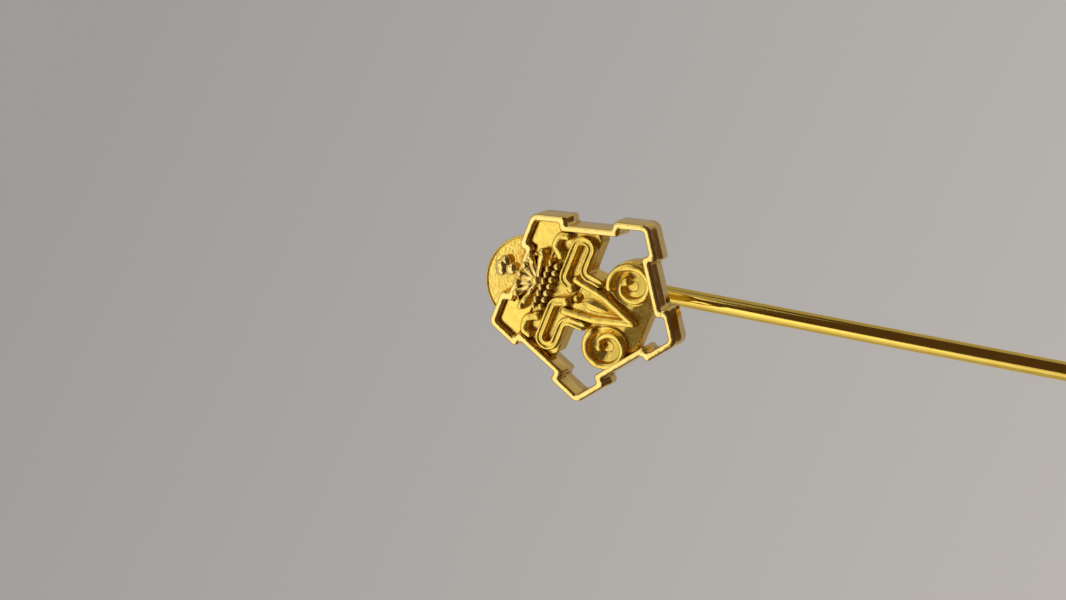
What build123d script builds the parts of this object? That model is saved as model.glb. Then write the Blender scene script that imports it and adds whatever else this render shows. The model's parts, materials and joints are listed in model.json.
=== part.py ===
from build123d import *
import os
from math import cos, pi, radians, sin, tan

# Stick pin: an openwork ornamental head on a pad, a long bent stem with a
# ground point, and a ball-lock clutch on the point. All sizes in millimetres.
#
# Frame: the stem's axis is Z, pointing up to the head. The head faces -Y.
# The origin is at the top of the stem's straight length, where the bend begins.

os.makedirs("parts", exist_ok=True)

# ---- driving dimensions: stem and pad ----
STEM_R = 0.6            # plated wire, 1.2 mm across
BEND_R = 3.0            # centreline radius of the bend behind the pad
STEM_FULL_Z = -47.0     # the wire keeps its full diameter down to here
STEM_SLIM_Z = -53.5     # foot of the slow taper
STEM_SLIM_R = 0.56
STEM_TIP_Z = -58.0
STEM_TIP_R = 0.08

PAD_R = 3.0
PAD_T = 0.6
PAD_FRONT_Y = -5.06     # the pad's front face, in front of the stem's axis
STEM_SOLDER_R = 1.15
STEM_SOLDER_H = 0.4
STEM_SOLDER_HOLLOW = (0.18, 0.14)  # of the fillet's curve: out from the stem, back from the pad

# ---- driving dimensions: head ----
HEAD_X = -0.24          # the head's centre, and its lean as set by hand
HEAD_Z = -1.47
HEAD_LEAN = 13.6
HEAD_R = 6.55           # centre to a corner of the pentagon
HEAD_DEPTH = 2.7
LOBE = 2.4              # length of a lobe's side, from its corner
NOTCH = 0.52            # how far a side steps in between two lobes
WALL = 0.5              # width of the border
BORDER_EASE = 0.24      # rounding of the border's outer corners

CORE_LEVEL = -0.8       # ground of the scrollwork, below the front face
FIELD_LEVEL = -0.6      # ground of the two closed lobes
CREST_LEVEL = -0.6      # ground of the crest
DISH_LEVEL = -0.42      # floor of a volute, inside its spiral
LEAF_LEVEL = -0.25      # top of the leaf between the lyre's strands
WEB_LEVEL = -0.5        # face of the web that joins the lyre's strands, under the leaf

STRAND = 0.58           # width of a side loop's strand
FINE_STRAND = 0.48      # of the other scrolls
BALL_END_R = 0.34
RELIEF_TOP = 0.0        # the scrolls stand as high as the border
CREST_TOP = 0.3

PAD_SOLDER_W = 0.22     # fillet of solder round the pad, on the head's back

# ---- driving dimensions: clutch ----
BARREL_R = 2.7
BARREL_TOP_Z = -48.4
BARREL_LENGTH = 7.6
BARREL_WALL = 0.4
BARREL_ROOF = 0.5
BARREL_EASE = 0.35
FERRULE_R = 1.5         # fills the opening in the barrel's roof
FERRULE_BORE_R = 0.72
FERRULE_LEAD_IN = 0.25
CONE_HALF_ANGLE = 12.0
CONE_LENGTH = 2.4
BALL_R = 0.42
BALL_COUNT = 3
BALL_GAP = 0.02         # running gap of a ball to the stem and to the cone
BALL_Z = -50.2
CAGE_BORE_R = 0.68
CAGE_R = 1.12
CAGE_TOP_Z = -49.25
CAGE_POCKET_R = 0.46
FLANGE_R = 1.75
FLANGE_T = 0.4
FLANGE_Z = -51.6        # upper face of the plunger's flange
TAIL_R = 1.0
WASHER_T = 0.25
WASHER_R = 1.9
WASHER_BORE_R = 1.05
WASHER_GAP = 0.03
SPRING_WIRE_R = 0.13
SPRING_R = 1.5
SPRING_TURNS = 4.5
END_CAP_T = 0.8
END_CAP_BORE_R = 1.06
KNOB_R = 2.2
KNOB_GAP = 0.35         # between barrel and knob at rest
KNOB_LENGTH = 3.2
KNOB_EASE = 0.5
KNOB_SOCKET_DEPTH = 1.2
KNOB_BORE_DEPTH = 2.4
GRIP_GROOVES = 3
GRIP_GROOVE_R = 0.16
GRIP_PITCH = 0.6

# ---- derived ----
FRONT_Y = PAD_FRONT_Y - HEAD_DEPTH
LEAN = radians(HEAD_LEAN)
HALF_CORNER = radians(36)
PAD_BACK_Y = PAD_FRONT_Y + PAD_T
PAD_Z = BEND_R          # height of the pad's axis
PAD_AXIS = Axis((0, 0, PAD_Z), (0, 1, 0))
BARREL_FOOT_Z = BARREL_TOP_Z - BARREL_LENGTH
BARREL_BORE_R = BARREL_R - BARREL_WALL
CAP_TOP_Z = BARREL_FOOT_Z + END_CAP_T
WASHER_TOP_Z = FLANGE_Z - FLANGE_T - WASHER_GAP
KNOB_TOP_Z = BARREL_FOOT_Z - KNOB_GAP
KNOB_FOOT_Z = KNOB_TOP_Z - KNOB_LENGTH
TAIL_FOOT_Z = KNOB_TOP_Z - KNOB_SOCKET_DEPTH
CONE_TOP_Z = BARREL_TOP_Z - BARREL_ROOF
STEM_SLIMMING = (STEM_R - STEM_SLIM_R) / (STEM_FULL_Z - STEM_SLIM_Z)
BALL_RING_R = STEM_R - STEM_SLIMMING * (STEM_FULL_Z - BALL_Z) + BALL_GAP + BALL_R
CONE_SLOPE = tan(radians(CONE_HALF_ANGLE))
CONE_R_AT_BALLS = BALL_RING_R + (BALL_R + BALL_GAP) / cos(radians(CONE_HALF_ANGLE))
CONE_TOP_R = CONE_R_AT_BALLS - CONE_SLOPE * (CONE_TOP_Z - BALL_Z)


def save(part, label):
    part.label = label
    export_step(part, f"parts/{label}.step")


def head_plane(level):
    """Plane of the head at a height above its front face; Y is the head's up."""
    return Plane(
        origin=(HEAD_X, FRONT_Y - level, HEAD_Z),
        x_dir=(cos(LEAN), 0, -sin(LEAN)),
        z_dir=(0, -1, 0),
    )


def border_points(inset=0.0):
    """Corners of the five-lobed outline, or of the same outline set inwards."""
    radius = HEAD_R - inset / cos(HALF_CORNER)
    lobe = LOBE - inset - inset * tan(HALF_CORNER)
    points = []
    for k in range(5):
        angle = radians(-90 + 72 * k)
        corner = Vector(radius * cos(angle), radius * sin(angle))
        for turn in (-1, 1):
            along = angle + turn * radians(126)
            out = angle + turn * HALF_CORNER
            step = corner + Vector(cos(along), sin(along)) * lobe
            foot = step - Vector(cos(out), sin(out)) * NOTCH
            points += [foot, step, corner] if turn < 0 else [step, foot]
    return points


def draw_outline(points, mode=Mode.ADD):
    """Closed straight-sided shape in the sketch that is open now."""
    with BuildLine(mode=Mode.PRIVATE) as outline:
        Polyline(*points, close=True)
    make_face(outline.line.edges(), mode=mode)


def draw_strand(points, width, bend, start_ball=0.0, end_ball=0.0):
    """A ribbon along straight runs with rounded bends, ends rounded or balled."""
    with BuildLine(mode=Mode.PRIVATE) as path:
        FilletPolyline(*points, radius=bend)
    trace(path.line, width)
    for point, ball in ((points[0], start_ball), (points[-1], end_ball)):
        with Locations(point):
            Circle(max(ball, width / 2))


def mirrored(points, side):
    return [(side * x, y) for x, y in points]


# ---- paths of the scrollwork, right half, in the head's own plane ----
LOOP_PATH = [(0.47, 1.09), (0.78, 1.85), (3.56, 1.85), (3.56, 0.78), (1.56, 0.78), (1.48, -0.48)]
LOOP_BEND = 0.5
SHOULDER_PATH = [(2.1, 2.5), (2.5, 3.1), (3.24, 3.02), (3.38, 2.52)]
SHOULDER_BEND = 0.3
LYRE_PATH = [(1.08, 1.0), (0.83, -0.94), (0.0, -3.44)]
LYRE_BEND = 2.0
VOLUTE_CENTRE = (2.1, -2.4)
VOLUTE_RX = 1.28
VOLUTE_RY = 1.38
VOLUTE_START = 118.0
VOLUTE_SWEEP = 410.0
VOLUTE_SHRINK = 0.68
VOLUTE_TIGHTENING = 2.0   # above 1, the spiral closes in late
VOLUTE_STEPS = 16
VOLUTE_PIT_RX = 0.3      # hole in the volute's floor, at the spiral's eye
VOLUTE_PIT_RY = 0.36


def volute_points(side):
    """Clockwise elliptical spiral from the top, closing in on its centre."""
    points = []
    for i in range(VOLUTE_STEPS + 1):
        share = i / VOLUTE_STEPS
        angle = radians(VOLUTE_START - VOLUTE_SWEEP * share)
        size = 1 - VOLUTE_SHRINK * share ** VOLUTE_TIGHTENING
        x = VOLUTE_CENTRE[0] + VOLUTE_RX * size * cos(angle)
        y = VOLUTE_CENTRE[1] + VOLUTE_RY * size * sin(angle)
        points.append((side * x, y))
    return points


def draw_shoulder(side):
    """A small curl in an upper corner, balled at its inner end, trimmed to the border."""
    draw_strand(mirrored(SHOULDER_PATH, side), FINE_STRAND, SHOULDER_BEND, BALL_END_R)


# ---- head: border and grounds ----
with BuildPart() as border_frame:
    with BuildSketch(head_plane(-HEAD_DEPTH)):
        draw_outline(border_points())
    extrude(amount=HEAD_DEPTH)
    fillet(border_frame.edges().filter_by(Axis.Y), BORDER_EASE)
    with BuildSketch(head_plane(-HEAD_DEPTH)):
        draw_outline(border_points(WALL))
    extrude(amount=HEAD_DEPTH, mode=Mode.SUBTRACT)
save(border_frame.part, "border_frame")

GROUND_TOP = 5.5          # grounds are drawn past the border, then trimmed to it
GROUND_SIDE = 4.8
CORE_TRUNK = [(-GROUND_SIDE, GROUND_TOP), (GROUND_SIDE, GROUND_TOP), (GROUND_SIDE, 1.3),
              (3.87, 0.49), (1.8, 0.46), (1.8, -4.14), (-1.8, -4.14), (-1.8, 0.46),
              (-3.87, 0.49), (-GROUND_SIDE, 1.3)]
CORE_LUG = [(2.5, -4.05), (3.0, -2.6), (3.5, -2.65), (4.25, -3.5), (2.6, -5.0), (1.65, -4.4)]


def draw_core(up):
    """The openwork ground: all but the three open lobes. up is -1 seen from behind."""
    draw_outline([(x, up * y) for x, y in CORE_TRUNK])
    for side in (-1, 1):
        with Locations((side * VOLUTE_CENTRE[0], up * VOLUTE_CENTRE[1])):
            Ellipse(VOLUTE_RX + STRAND / 2, VOLUTE_RY + STRAND / 2)
        draw_outline([(x, up * y) for x, y in mirrored(CORE_LUG, side)])
    draw_outline([(p.X, up * p.Y) for p in border_points(WALL)], mode=Mode.INTERSECT)


with BuildPart() as core_plate:
    with BuildSketch(head_plane(-HEAD_DEPTH)):
        draw_core(1)
    extrude(amount=HEAD_DEPTH + CORE_LEVEL)
save(core_plate.part, "core_plate")

CREST_HALF_WIDTH = 2.34
CREST_FOOT = 3.07
FIELD_FOOT = 2.7
FIELD_AREA = [(CREST_HALF_WIDTH, GROUND_TOP), (GROUND_SIDE, GROUND_TOP),
              (GROUND_SIDE, FIELD_FOOT), (CREST_HALF_WIDTH, FIELD_FOOT)]
for side, name in ((-1, "field_left"), (1, "field_right")):
    with BuildPart() as field:
        with BuildSketch(head_plane(CORE_LEVEL)):
            draw_outline(mirrored(FIELD_AREA, side))
            draw_outline(border_points(WALL), mode=Mode.INTERSECT)
        extrude(amount=FIELD_LEVEL - CORE_LEVEL)
        with BuildSketch(head_plane(CORE_LEVEL)):
            draw_shoulder(side)
        extrude(amount=FIELD_LEVEL - CORE_LEVEL, mode=Mode.SUBTRACT)
    pieces = field.part.solids().sort_by(SortBy.VOLUME)
    save(Part(pieces[-1].wrapped), name)

# ---- head: scrollwork, one pair of each ----
for side, hand in ((-1, "left"), (1, "right")):
    with BuildPart() as side_loop:
        with BuildSketch(head_plane(CORE_LEVEL)):
            draw_strand(mirrored(LOOP_PATH, side), STRAND, LOOP_BEND, BALL_END_R)
        extrude(amount=RELIEF_TOP - CORE_LEVEL)
    save(side_loop.part, f"side_loop_{hand}")

    with BuildPart() as shoulder_scroll:
        with BuildSketch(head_plane(CORE_LEVEL)):
            draw_shoulder(side)
        extrude(amount=RELIEF_TOP - CORE_LEVEL)
    save(shoulder_scroll.part, f"shoulder_scroll_{hand}")

    with BuildPart() as volute:
        with BuildSketch(head_plane(CORE_LEVEL)):
            spiral = volute_points(side)
            with BuildLine(mode=Mode.PRIVATE) as spiral_path:
                Spline(*spiral)
            trace(spiral_path.line, FINE_STRAND)
            with Locations(spiral[0]):
                Circle(FINE_STRAND / 2)
            with Locations(spiral[-1]):
                Circle(BALL_END_R)
            draw_outline(border_points(WALL), mode=Mode.INTERSECT)
        extrude(amount=RELIEF_TOP - CORE_LEVEL)
        with BuildSketch(head_plane(CORE_LEVEL)):
            with Locations((side * VOLUTE_CENTRE[0], VOLUTE_CENTRE[1])):
                Ellipse(VOLUTE_RX, VOLUTE_RY)
                Ellipse(VOLUTE_PIT_RX, VOLUTE_PIT_RY, mode=Mode.SUBTRACT)
            draw_outline(border_points(WALL), mode=Mode.INTERSECT)
        extrude(amount=DISH_LEVEL - CORE_LEVEL)
    save(volute.part, f"volute_{hand}")

BOSS_CENTRE = (0.0, 0.52)
BOSS_R = 0.36
BOSS_EASE = 0.29
WEB_TOP_Y = 0.66
WEB_MARGIN = 0.02
with BuildPart() as lyre_stem:
    with BuildSketch(head_plane(CORE_LEVEL)):
        for side in (-1, 1):
            draw_strand(mirrored(LYRE_PATH, side), FINE_STRAND, LYRE_BEND)
    extrude(amount=RELIEF_TOP - CORE_LEVEL)
    with BuildSketch(head_plane(CORE_LEVEL)):
        draw_outline(mirrored(LYRE_PATH, -1) + LYRE_PATH[1::-1])
        with Locations((0, WEB_TOP_Y + HEAD_R)):
            Rectangle(2 * HEAD_R, 2 * HEAD_R, mode=Mode.SUBTRACT)
        with Locations(BOSS_CENTRE):
            Circle(BOSS_R + WEB_MARGIN)
    extrude(amount=WEB_LEVEL - CORE_LEVEL)
save(lyre_stem.part, "lyre_stem")

LEAF_TOP = (0.0, 0.05)
LEAF_SIDE = (0.4, -0.64)
LEAF_TIP = (0.0, -2.08)
with BuildPart() as centre_leaf:
    with BuildSketch(head_plane(WEB_LEVEL)):
        with BuildLine():
            for side in (-1, 1):
                Spline(LEAF_TOP, (side * LEAF_SIDE[0], LEAF_SIDE[1]), LEAF_TIP)
        make_face()
    extrude(amount=LEAF_LEVEL - WEB_LEVEL)
save(centre_leaf.part, "centre_leaf")

with BuildPart() as centre_boss:
    with BuildSketch(head_plane(WEB_LEVEL)):
        with Locations(BOSS_CENTRE):
            Circle(BOSS_R)
    extrude(amount=RELIEF_TOP - WEB_LEVEL)
    fillet(centre_boss.faces().sort_by(Axis.Y)[0].edges(), BOSS_EASE)
save(centre_boss.part, "centre_boss")

# ---- head: crest ----
with BuildPart() as crest_block:
    with BuildSketch(head_plane(CORE_LEVEL)):
        draw_outline([(-CREST_HALF_WIDTH, GROUND_TOP), (CREST_HALF_WIDTH, GROUND_TOP),
                      (CREST_HALF_WIDTH, CREST_FOOT), (-CREST_HALF_WIDTH, CREST_FOOT)])
        draw_outline(border_points(WALL), mode=Mode.INTERSECT)
    extrude(amount=CREST_LEVEL - CORE_LEVEL)
    with BuildSketch(head_plane(CORE_LEVEL)):
        for side in (-1, 1):
            draw_shoulder(side)
    extrude(amount=CREST_LEVEL - CORE_LEVEL, mode=Mode.SUBTRACT)
save(crest_block.part, "crest_block")

PALMETTE_FOOT = (0.0, 3.24)
PALMETTE_RX = 2.18
PALMETTE_RY = 1.45
PETALS = 7
PETAL_STEP = 26.0
PETAL_INNER = 0.36
PETAL_TIP_R = 0.26
PETAL_ROOT_R = 0.13
PALMETTE_EYE_R = 0.42


def petal_reach(angle):
    """Distance from the palmette's foot to the middle of a petal's round tip."""
    reach = ((cos(angle) / PALMETTE_RX) ** 2 + (sin(angle) / PALMETTE_RY) ** 2) ** -0.5
    return reach - PETAL_TIP_R


def draw_palmette():
    """A fan of drop-shaped petals round a half-round eye."""
    for k in range(PETALS):
        angle = radians(90 + PETAL_STEP * (k - (PETALS - 1) / 2))
        way = Vector(cos(angle), sin(angle))
        across = Vector(-sin(angle), cos(angle))
        foot = Vector(*PALMETTE_FOOT)
        root = foot + way * PETAL_INNER
        tip = foot + way * petal_reach(angle)
        draw_outline([root + across * PETAL_ROOT_R, root - across * PETAL_ROOT_R,
                      tip - across * PETAL_TIP_R, tip + across * PETAL_TIP_R])
        with Locations(tip):
            Circle(PETAL_TIP_R)
    with Locations(PALMETTE_FOOT):
        Circle(PALMETTE_EYE_R)
    with Locations((PALMETTE_FOOT[0], PALMETTE_FOOT[1] - HEAD_R)):
        Rectangle(2 * HEAD_R, 2 * HEAD_R, mode=Mode.SUBTRACT)


with BuildPart() as crest_palmette:
    with BuildSketch(head_plane(CREST_LEVEL)):
        draw_palmette()
        draw_outline(border_points(WALL), mode=Mode.INTERSECT)
    extrude(amount=-CREST_LEVEL)
    with BuildSketch(head_plane(0)):
        draw_palmette()
    extrude(amount=CREST_TOP)
save(crest_palmette.part, "crest_palmette")

ROPE_Y = 2.88
ROPE_HALF_LENGTH = 1.68
ROPE_LAYS = 8
ROPE_LAY_R = 0.17
ROPE_HEART_W = 0.27
with BuildPart() as crest_rope:
    with BuildSketch(head_plane(CORE_LEVEL)):
        pitch = 2 * ROPE_HALF_LENGTH / ROPE_LAYS
        with Locations((0, ROPE_Y)):
            Rectangle(2 * ROPE_HALF_LENGTH - pitch, ROPE_HEART_W)
            with GridLocations(pitch, 0, ROPE_LAYS, 1):
                Ellipse(pitch / 2, ROPE_LAY_R)
    extrude(amount=CREST_TOP - CORE_LEVEL)
save(crest_rope.part, "crest_rope")

BEAD_Y = 2.4
BEAD_R = 0.21
BEAD_COUNT = 7
BEAD_PITCH = 0.46
BEAD_EASE = 0.14
with BuildPart() as crest_beads:
    with BuildSketch(head_plane(CORE_LEVEL)):
        with Locations((0, BEAD_Y)):
            with GridLocations(BEAD_PITCH, 0, BEAD_COUNT, 1):
                Circle(BEAD_R)
    extrude(amount=CREST_TOP - CORE_LEVEL)
    fillet(crest_beads.faces().filter_by(Axis.Y).group_by(Axis.Y)[0].edges(), BEAD_EASE)
save(crest_beads.part, "crest_beads")

FINIAL_FOOT = HEAD_R * cos(HALF_CORNER) - NOTCH
FINIAL_BACK = -1.4
FINIAL_NECK = [(0.26, FINIAL_FOOT), (0.24, 4.95)]
FINIAL_RING = [(0.24, 4.95), (0.36, 5.14), (0.24, 5.34)]
FINIAL_BUD = [(0.24, 5.34), (0.7, 5.66), (0.38, 6.02), (0.0, 6.2)]
with BuildPart() as crest_finial:
    with BuildSketch(head_plane(FINIAL_BACK)):
        with BuildLine():
            for side in (-1, 1):
                Polyline((0, FINIAL_FOOT), *mirrored(FINIAL_NECK, side))
                Spline(*mirrored(FINIAL_RING, side))
                Spline(*mirrored(FINIAL_BUD, side))
        make_face()
    extrude(amount=CREST_TOP - FINIAL_BACK)
save(crest_finial.part, "crest_finial")

# ---- pad, stem and their solder ----
with BuildPart() as pad_disc:
    with BuildSketch(Plane(origin=(0, PAD_BACK_Y, PAD_Z), z_dir=(0, -1, 0))):
        Circle(PAD_R)
        Circle(STEM_R, mode=Mode.SUBTRACT)
    extrude(amount=PAD_T)
save(pad_disc.part, "pad_disc")

with BuildPart() as stem:
    with BuildLine():
        staked_end = Line((0, PAD_FRONT_Y, PAD_Z), (0, -BEND_R, PAD_Z))
        bend = TangentArc(staked_end @ 1, (0, 0, 0), tangent=(0, 1, 0))
        Line(bend @ 1, (0, 0, STEM_FULL_Z))
    with BuildSketch(Plane(origin=(0, PAD_FRONT_Y, PAD_Z), z_dir=(0, 1, 0))):
        Circle(STEM_R)
    sweep()
    with BuildSketch(Plane.XZ):
        with BuildLine():
            Polyline((0, STEM_FULL_Z), (STEM_R, STEM_FULL_Z), (STEM_SLIM_R, STEM_SLIM_Z),
                     (STEM_TIP_R, STEM_TIP_Z), (0, STEM_TIP_Z), close=True)
        make_face()
    revolve(axis=Axis.Z)
save(stem.part, "stem")

with BuildPart() as stem_solder:
    with BuildSketch(Plane.XY.offset(PAD_Z)):
        with BuildLine():
            Line((STEM_R, PAD_BACK_Y), (STEM_SOLDER_R, PAD_BACK_Y))
            hollow_r, hollow_h = STEM_SOLDER_HOLLOW
            ThreePointArc((STEM_SOLDER_R, PAD_BACK_Y), (STEM_R + hollow_r, PAD_BACK_Y + hollow_h),
                          (STEM_R, PAD_BACK_Y + STEM_SOLDER_H))
            Line((STEM_R, PAD_BACK_Y + STEM_SOLDER_H), (STEM_R, PAD_BACK_Y))
        make_face()
    revolve(axis=PAD_AXIS)
save(stem_solder.part, "stem_solder")

with BuildPart() as pad_solder:
    with BuildSketch(Plane.XY.offset(PAD_Z)):
        draw_outline([(PAD_R, PAD_FRONT_Y), (PAD_R + PAD_SOLDER_W, PAD_FRONT_Y),
                      (PAD_R, PAD_FRONT_Y + PAD_SOLDER_W)])
    revolve(axis=PAD_AXIS)
    with BuildSketch(Plane(head_plane(-HEAD_DEPTH).origin, head_plane(0).x_dir, (0, 1, 0))):
        draw_core(-1)
    extrude(amount=PAD_T, mode=Mode.INTERSECT)
save(pad_solder.part, "pad_solder")


# ---- clutch: every piece is turned about the stem's axis ----
def ring_profile(inner, outer, foot, top):
    return [(inner, foot), (outer, foot), (outer, top), (inner, top)]


with BuildPart() as clutch_barrel:
    with BuildSketch(Plane.XZ):
        draw_outline([(FERRULE_R, BARREL_TOP_Z), (BARREL_R, BARREL_TOP_Z),
                      (BARREL_R, BARREL_FOOT_Z), (BARREL_BORE_R, BARREL_FOOT_Z),
                      (BARREL_BORE_R, CONE_TOP_Z), (FERRULE_R, CONE_TOP_Z)])
    revolve(axis=Axis.Z)
    outside = clutch_barrel.edges().filter_by(GeomType.CIRCLE).group_by(SortBy.RADIUS)[-1]
    fillet(outside.sort_by(Axis.Z)[-1], BARREL_EASE)
save(clutch_barrel.part, "clutch_barrel")

with BuildPart() as clutch_ferrule:
    with BuildSketch(Plane.XZ):
        draw_outline([(FERRULE_BORE_R + FERRULE_LEAD_IN, BARREL_TOP_Z),
                      (FERRULE_R, BARREL_TOP_Z), (FERRULE_R, CONE_TOP_Z),
                      (FERRULE_BORE_R, CONE_TOP_Z),
                      (FERRULE_BORE_R, BARREL_TOP_Z - FERRULE_LEAD_IN)])
    revolve(axis=Axis.Z)
save(clutch_ferrule.part, "clutch_ferrule")

with BuildPart() as clutch_cone_ring:
    with BuildSketch(Plane.XZ):
        cone_foot_z = CONE_TOP_Z - CONE_LENGTH
        draw_outline([(CONE_TOP_R, CONE_TOP_Z), (BARREL_BORE_R, CONE_TOP_Z),
                      (BARREL_BORE_R, cone_foot_z),
                      (CONE_TOP_R + CONE_SLOPE * CONE_LENGTH, cone_foot_z)])
    revolve(axis=Axis.Z)
save(clutch_cone_ring.part, "clutch_cone_ring")

with BuildPart() as clutch_end_cap:
    with BuildSketch(Plane.XZ):
        draw_outline(ring_profile(END_CAP_BORE_R, BARREL_BORE_R, BARREL_FOOT_Z, CAP_TOP_Z))
    revolve(axis=Axis.Z)
save(clutch_end_cap.part, "clutch_end_cap")

with BuildPart() as clutch_plunger:
    with BuildSketch(Plane.XZ):
        flange_foot_z = FLANGE_Z - FLANGE_T
        draw_outline([(CAGE_BORE_R, CAGE_TOP_Z), (CAGE_R, CAGE_TOP_Z), (CAGE_R, FLANGE_Z),
                      (FLANGE_R, FLANGE_Z), (FLANGE_R, flange_foot_z), (TAIL_R, flange_foot_z),
                      (TAIL_R, TAIL_FOOT_Z), (CAGE_BORE_R, TAIL_FOOT_Z)])
    revolve(axis=Axis.Z)
    with BuildSketch(Plane.YZ):
        with Locations((0, BALL_Z)):
            Circle(CAGE_POCKET_R)
    pocket = extrude(amount=CAGE_R + BALL_R, mode=Mode.PRIVATE)
    for k in range(BALL_COUNT):
        add(pocket.rotate(Axis.Z, 360 * k / BALL_COUNT), mode=Mode.SUBTRACT)
save(clutch_plunger.part, "clutch_plunger")

for k in range(BALL_COUNT):
    turn = radians(360 * k / BALL_COUNT)
    with BuildPart() as clutch_ball:
        with Locations((BALL_RING_R * cos(turn), BALL_RING_R * sin(turn), BALL_Z)):
            Sphere(BALL_R)
    save(clutch_ball.part, f"clutch_ball_{k + 1}")

with BuildPart() as clutch_washer:
    with BuildSketch(Plane.XZ):
        washer_foot_z = WASHER_TOP_Z - WASHER_T
        draw_outline(ring_profile(WASHER_BORE_R, WASHER_R, washer_foot_z, WASHER_TOP_Z))
    revolve(axis=Axis.Z)
save(clutch_washer.part, "clutch_washer")

SPRING_FOOT_Z = CAP_TOP_Z + WASHER_GAP + SPRING_WIRE_R
SPRING_HEIGHT = washer_foot_z - WASHER_GAP - SPRING_WIRE_R - SPRING_FOOT_Z
with BuildPart() as clutch_spring:
    with BuildLine():
        Helix(pitch=SPRING_HEIGHT / SPRING_TURNS, height=SPRING_HEIGHT, radius=SPRING_R,
              center=(0, 0, SPRING_FOOT_Z))
    with BuildSketch(Plane(origin=(SPRING_R, 0, SPRING_FOOT_Z), z_dir=(0, 1, 0))):
        Circle(SPRING_WIRE_R)
    sweep(is_frenet=True)
save(clutch_spring.part, "clutch_spring")

with BuildPart() as clutch_knob:
    with BuildSketch(Plane.XZ):
        draw_outline([(0, KNOB_FOOT_Z), (KNOB_R, KNOB_FOOT_Z), (KNOB_R, KNOB_TOP_Z),
                      (TAIL_R, KNOB_TOP_Z), (TAIL_R, TAIL_FOOT_Z), (CAGE_BORE_R, TAIL_FOOT_Z),
                      (CAGE_BORE_R, KNOB_TOP_Z - KNOB_BORE_DEPTH),
                      (0, KNOB_TOP_Z - KNOB_BORE_DEPTH)])
        middle_z = (KNOB_TOP_Z + KNOB_FOOT_Z) / 2
        with Locations((KNOB_R, middle_z)):
            with GridLocations(0, GRIP_PITCH, 1, GRIP_GROOVES):
                Circle(GRIP_GROOVE_R, mode=Mode.SUBTRACT)
    revolve(axis=Axis.Z)
    rims = clutch_knob.edges().filter_by(GeomType.CIRCLE).sort_by(Axis.Z)
    fillet(rims[0], KNOB_EASE)
save(clutch_knob.part, "clutch_knob")
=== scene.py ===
import json
from math import atan2, cos, pi, radians, sin, sqrt, tan

import bpy
from mathutils import Matrix, Vector, noise


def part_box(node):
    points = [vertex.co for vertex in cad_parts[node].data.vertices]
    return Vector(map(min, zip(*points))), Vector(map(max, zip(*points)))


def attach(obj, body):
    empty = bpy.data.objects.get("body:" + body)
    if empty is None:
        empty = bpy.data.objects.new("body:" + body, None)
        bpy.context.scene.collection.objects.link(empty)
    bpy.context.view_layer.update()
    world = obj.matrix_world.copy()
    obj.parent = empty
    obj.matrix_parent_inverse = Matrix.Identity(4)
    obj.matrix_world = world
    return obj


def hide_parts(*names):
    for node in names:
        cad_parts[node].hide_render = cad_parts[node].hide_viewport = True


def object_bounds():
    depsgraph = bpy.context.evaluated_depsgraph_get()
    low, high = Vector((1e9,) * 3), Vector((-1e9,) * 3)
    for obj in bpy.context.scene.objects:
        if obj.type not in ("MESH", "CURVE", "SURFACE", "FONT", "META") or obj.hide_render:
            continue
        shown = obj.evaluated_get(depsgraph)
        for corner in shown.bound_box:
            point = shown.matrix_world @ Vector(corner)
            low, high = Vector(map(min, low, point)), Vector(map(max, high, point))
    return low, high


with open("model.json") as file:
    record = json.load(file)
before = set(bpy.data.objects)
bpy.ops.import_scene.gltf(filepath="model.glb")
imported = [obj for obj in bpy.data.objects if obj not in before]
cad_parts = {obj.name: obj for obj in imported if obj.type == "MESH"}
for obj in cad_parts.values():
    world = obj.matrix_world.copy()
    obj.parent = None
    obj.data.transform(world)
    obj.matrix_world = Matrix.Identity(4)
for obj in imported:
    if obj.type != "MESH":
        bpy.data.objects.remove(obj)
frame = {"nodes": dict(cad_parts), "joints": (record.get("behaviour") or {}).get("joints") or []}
cad_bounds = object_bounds()

MM = 0.001


# ---------------------------------------------------------------- the head's own plane
def middle(node):
    low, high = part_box(node)
    return (low + high) / 2


def flat(point):
    return Vector((point.x, 0, point.z))


# The boss and the row of beads lie on the head's own axis of symmetry.
BOSS_Y = 0.52
front_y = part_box("border_frame")[0].y
HEAD_UP = flat(middle("crest_beads") - middle("centre_boss")).normalized()
HEAD_RIGHT = Vector((HEAD_UP.z, 0, -HEAD_UP.x))
HEAD_OUT = Vector((0, -1, 0))
HEAD_CENTRE = flat(middle("centre_boss")) - HEAD_UP * BOSS_Y * MM + Vector((0, front_y, 0))


def on_head(x, y, h=0.0):
    """Millimetres across, up and out of the head's front face, to a place in metres."""
    return HEAD_CENTRE + (HEAD_RIGHT * x + HEAD_UP * y + HEAD_OUT * h) * MM


# ---------------------------------------------------------------- the head's dimensions, mm
HEAD_R = 6.55
LOBE = 2.4
NOTCH = 0.52
WALL = 0.5
HEAD_DEPTH = (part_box("border_frame")[1].y - front_y) / MM
GROUND = -0.8
CREST_GROUND = -0.6
CREST_TOP = 0.3
DISH = -0.42
STRAND = 0.58
FINE_STRAND = 0.48
BALL_END_R = 0.34
HALF_CORNER = radians(36)

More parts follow.
